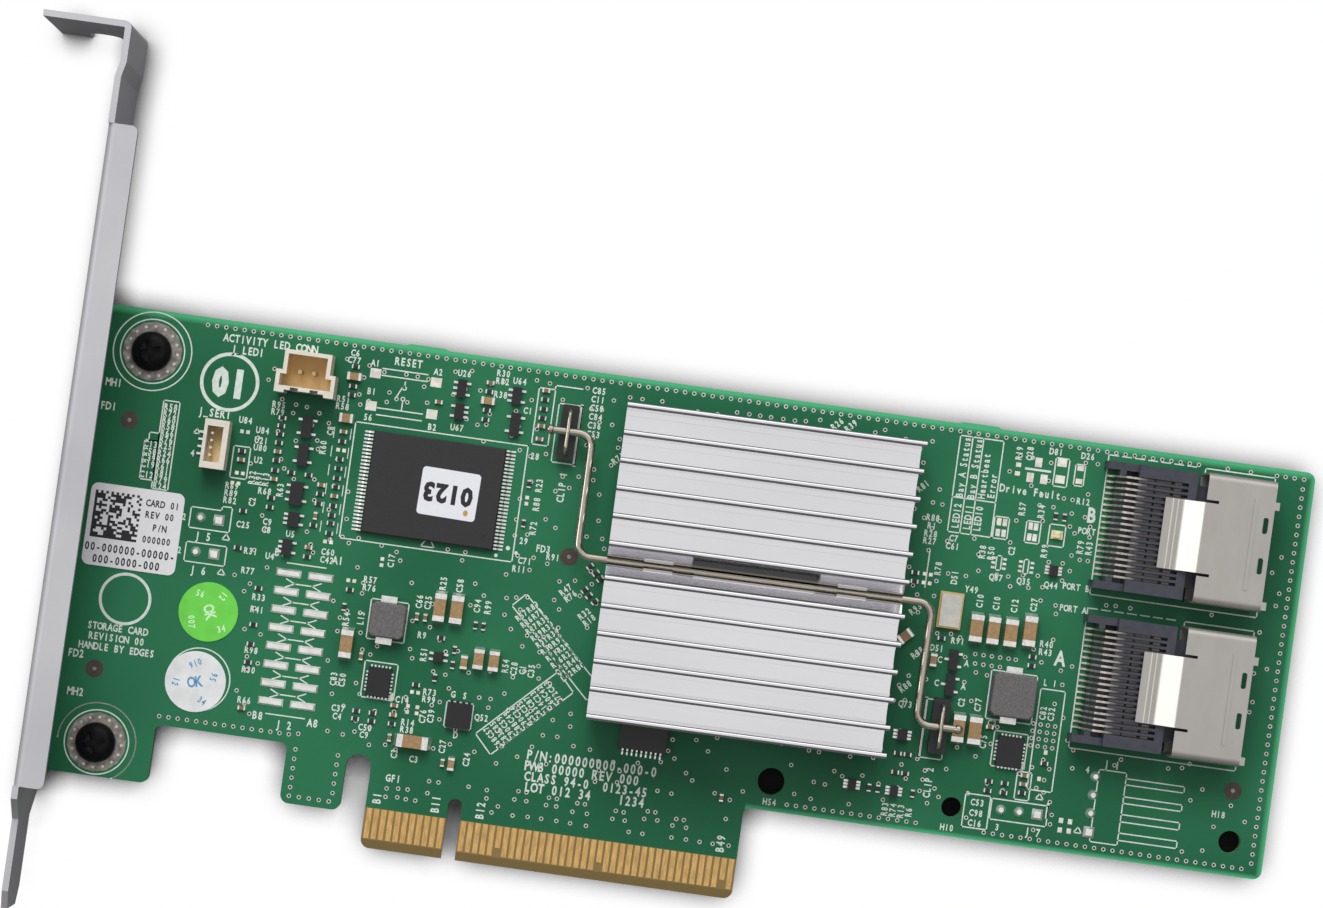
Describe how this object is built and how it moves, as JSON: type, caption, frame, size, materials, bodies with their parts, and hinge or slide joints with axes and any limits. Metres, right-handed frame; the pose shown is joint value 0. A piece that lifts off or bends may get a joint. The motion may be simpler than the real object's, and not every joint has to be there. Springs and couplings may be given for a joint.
{
  "type": "storage controller card",
  "caption": "Green storage controller card with a finned heatsink held by a wire clip, two internal ports, a keyed edge connector and a full-height steel bracket.",
  "frame": {"origin": "On the centre line of the edge connector's key notch, at the connector's lower edge, on the component side's face.", "axes": "+X along the card, away from the bracket; +Y up the card, away from the edge connector; +Z out of the component side."},
  "size_m": [0.1794, 0.12, 0.0184],
  "materials": {
    "solder_mask": "gloss",
    "gold": "polished",
    "bracket_steel": "satin",
    "black_steel": "satin",
    "aluminium_fins": "satin",
    "spring_steel": "polished",
    "black_plastic": "matte",
    "package_green": "satin",
    "thermal_grey": "matte",
    "moulded_black": "matte",
    "tinned_leads": "satin",
    "paper_white": "matte",
    "cream_plastic": "matte",
    "ferrite_grey": "matte",
    "can_steel": "satin",
    "capacitor_tan": "satin",
    "resistor_black": "gloss",
    "lamp_resin": "gloss",
    "solder": "satin",
    "film_green": "satin",
    "port_plastic": "matte",
    "shell_steel": "satin"
  },
  "bodies": {
    "root": {"anchor_hoop_left": "spring_steel", "anchor_hoop_right": "spring_steel", "bracket_screws": "black_steel", "bridge_pads": "solder", "chip_resistors": "resistor_black", "circuit_board": "solder_mask", "clip_anchor_left": "black_plastic", "clip_anchor_right": "black_plastic", "clock_oscillator": "can_steel", "controller_chip": "package_green", "edge_contacts_back": "gold", "edge_contacts_front": "gold", "flash_label": "paper_white", "flash_memory_body": "moulded_black", "flash_memory_leads": "tinned_leads", "green_sticker": "film_green", "heatsink": "aluminium_fins", "heatsink_clip": "spring_steel", "inductor_left": "ferrite_grey", "inductor_right": "ferrite_grey", "inductor_terminals": "tinned_leads", "interface_chip": "moulded_black", "interface_leads": "tinned_leads", "lamp_header_housing": "cream_plastic", "lamp_header_pins": "tinned_leads", "large_capacitors": "capacitor_tan", "mounting_bracket": "bracket_steel", "port_a_contacts": "tinned_leads", "port_a_housing": "port_plastic", "port_a_shell": "shell_steel", "port_b_contacts": "tinned_leads", "port_b_housing": "port_plastic", "port_b_shell": "shell_steel", "power_transistor": "moulded_black", "regulator_left": "moulded_black", "regulator_pads": "tinned_leads", "regulator_right": "moulded_black", "serial_header_housing": "cream_plastic", "serial_header_leads": "tinned_leads", "service_label": "paper_white", "small_capacitors": "capacitor_tan", "small_transistors": "moulded_black", "solder_joints": "solder", "status_lamp": "lamp_resin", "thermal_pad": "thermal_grey", "transistor_leads": "tinned_leads", "white_sticker": "paper_white"}
  },
  "joints": []
}
